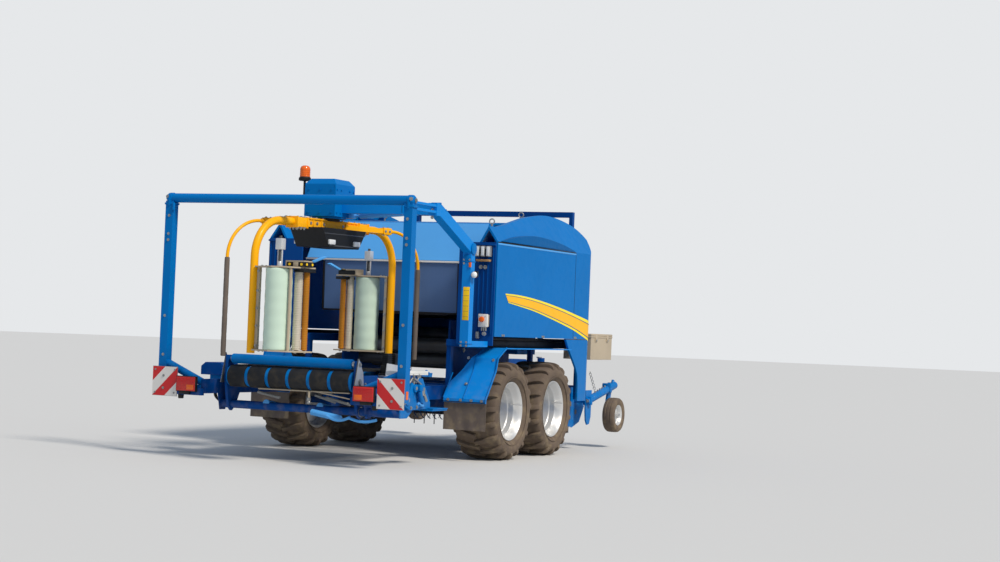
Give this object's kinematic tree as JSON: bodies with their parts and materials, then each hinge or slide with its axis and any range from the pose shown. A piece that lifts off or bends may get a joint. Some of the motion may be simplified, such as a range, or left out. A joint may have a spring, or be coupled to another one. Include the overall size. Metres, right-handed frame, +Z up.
{
  "type": "round baler and bale wrapper combination",
  "caption": "Towed round baler with a rear bale wrapper: rotor with film arms over a belt table, portal frame, side hoods, tandem wheels and pick-up.",
  "frame": {"origin": "middle of the whole box, on the floor", "axes": "+X forward, towards the hitch; +Y to the machine's left; +Z up"},
  "size_m": [7.255, 2.78, 2.915],
  "materials": {
    "blue_paint": "gloss",
    "dark_blue_paint": "gloss",
    "bare_steel": "satin",
    "belt_rubber": "matte",
    "yellow_paint": "gloss",
    "black_plastic": "matte",
    "frame_grey": "satin",
    "sleeve_foam": "matte",
    "film": "gloss",
    "roller_coat": "satin",
    "amber_lens": "gloss",
    "red_lens": "gloss",
    "sign_sheet": "satin",
    "tyre_rubber": "matte",
    "rim_silver": "satin"
  },
  "bodies": {
    "chassis": {"main_frame": "dark_blue_paint", "bogies": "dark_blue_paint", "drawbar": "dark_blue_paint", "hitch": "dark_blue_paint", "jack_tube": "dark_blue_paint", "chamber_walls": "dark_blue_paint", "chamber_skin": "dark_blue_paint", "chamber_rollers": "bare_steel", "net_box": "blue_paint", "top_rails": "dark_blue_paint", "side_sills": "dark_blue_paint", "front_legs": "blue_paint", "fenders": "blue_paint", "flaps": "belt_rubber", "gantry": "blue_paint", "hub_housing": "blue_paint", "beacon": "amber_lens", "portal": "blue_paint", "light_bar": "dark_blue_paint", "warning_plates": "sign_sheet", "tail_lamps": "red_lens", "side_brackets": "blue_paint", "drive_cover": "dark_blue_paint", "tray": "roller_coat", "hoses": "belt_rubber", "gearbox": "bare_steel", "tool_box": "frame_grey", "control_box": "roller_coat"},
    "table": {"table_frame": "dark_blue_paint", "table_drums": "blue_paint", "table_belts": "belt_rubber", "table_guides": "bare_steel", "film_clamps": "black_plastic"},
    "rotor": {"rotor_hub": "black_plastic", "rotor_arms": "yellow_paint", "dispensers": "frame_grey", "film_rolls": "film", "stretch_rollers": "roller_coat", "safety_arms": "yellow_paint", "arm_sleeves": "sleeve_foam"},
    "tailgate": {"tailgate_shell": "blue_paint", "tailgate_rollers": "bare_steel"},
    "hood_right_side": {"hood_right": "blue_paint"},
    "hood_left_side": {"hood_left": "blue_paint"},
    "pickup": {"pickup_frame": "blue_paint", "gauge_arms": "blue_paint", "crop_guard": "dark_blue_paint"},
    "reel": {"pickup_reel": "bare_steel"},
    "gauge_right": {"gauge_wheel_right": "tyre_rubber"},
    "gauge_left": {"gauge_wheel_left": "tyre_rubber"},
    "jack": {"jack_leg": "bare_steel"},
    "wheel_rear_right": {"tyre_rear_right": "tyre_rubber", "rim_rear_right": "rim_silver"},
    "wheel_rear_left": {"tyre_rear_left": "tyre_rubber", "rim_rear_left": "rim_silver"},
    "wheel_front_right": {"tyre_front_right": "tyre_rubber", "rim_front_right": "rim_silver"},
    "wheel_front_left": {"tyre_front_left": "tyre_rubber", "rim_front_left": "rim_silver"}
  },
  "joints": [
    {"name": "wheel_rear_right_spin", "type": "hinge", "parent": "chassis", "child": "wheel_rear_right", "pos_m": [-0.73248, -1.145, 0.51], "axis": [0, 1, 0], "continuous": true},
    {"name": "wheel_rear_left_spin", "type": "hinge", "parent": "chassis", "child": "wheel_rear_left", "pos_m": [-0.73248, 1.145, 0.51], "axis": [0, 1, 0], "continuous": true},
    {"name": "wheel_front_right_spin", "type": "hinge", "parent": "chassis", "child": "wheel_front_right", "pos_m": [0.39252, -1.145, 0.51], "axis": [0, 1, 0], "continuous": true},
    {"name": "wheel_front_left_spin", "type": "hinge", "parent": "chassis", "child": "wheel_front_left", "pos_m": [0.39252, 1.145, 0.51], "axis": [0, 1, 0], "continuous": true},
    {"name": "rotor_turn", "type": "hinge", "parent": "chassis", "child": "rotor", "pos_m": [-2.32807, 0, 2.32], "axis": [0, 0, 1], "continuous": true},
    {"name": "tailgate_lift", "type": "hinge", "parent": "chassis", "child": "tailgate", "pos_m": [0.59252, 0, 1.6], "axis": [0, 1, 0], "range_deg": [0, 40]},
    {"name": "hood_right_lift", "type": "hinge", "parent": "chassis", "child": "hood_right_side", "pos_m": [0.17252, -1.025, 2.585], "axis": [-1, 0, 0], "range_deg": [0, 70]},
    {"name": "hood_left_lift", "type": "hinge", "parent": "chassis", "child": "hood_left_side", "pos_m": [0.17252, 1.025, 2.585], "axis": [1, 0, 0], "range_deg": [0, 70]},
    {"name": "table_tilt", "type": "hinge", "parent": "chassis", "child": "table", "pos_m": [-2.84807, 0, 0.52], "axis": [0, -1, 0], "range_deg": [0, 35]},
    {"name": "pickup_lift", "type": "hinge", "parent": "chassis", "child": "pickup", "pos_m": [1.15252, 0, 0.56], "axis": [0, 1, 0], "range_deg": [-6, 8]},
    {"name": "reel_turn", "type": "hinge", "parent": "pickup", "child": "reel", "pos_m": [1.72252, 0, 0.43], "axis": [0, 1, 0], "continuous": true},
    {"name": "gauge_right_spin", "type": "hinge", "parent": "pickup", "child": "gauge_right", "pos_m": [2.39252, -1.31, 0.39], "axis": [0, 1, 0], "continuous": true},
    {"name": "gauge_left_spin", "type": "hinge", "parent": "pickup", "child": "gauge_left", "pos_m": [2.39252, 1.31, 0.39], "axis": [0, 1, 0], "continuous": true},
    {"name": "jack_slide", "type": "slide", "parent": "chassis", "child": "jack", "axis": [0, 0, 1], "range_m": [0, 0.35]}
  ]
}
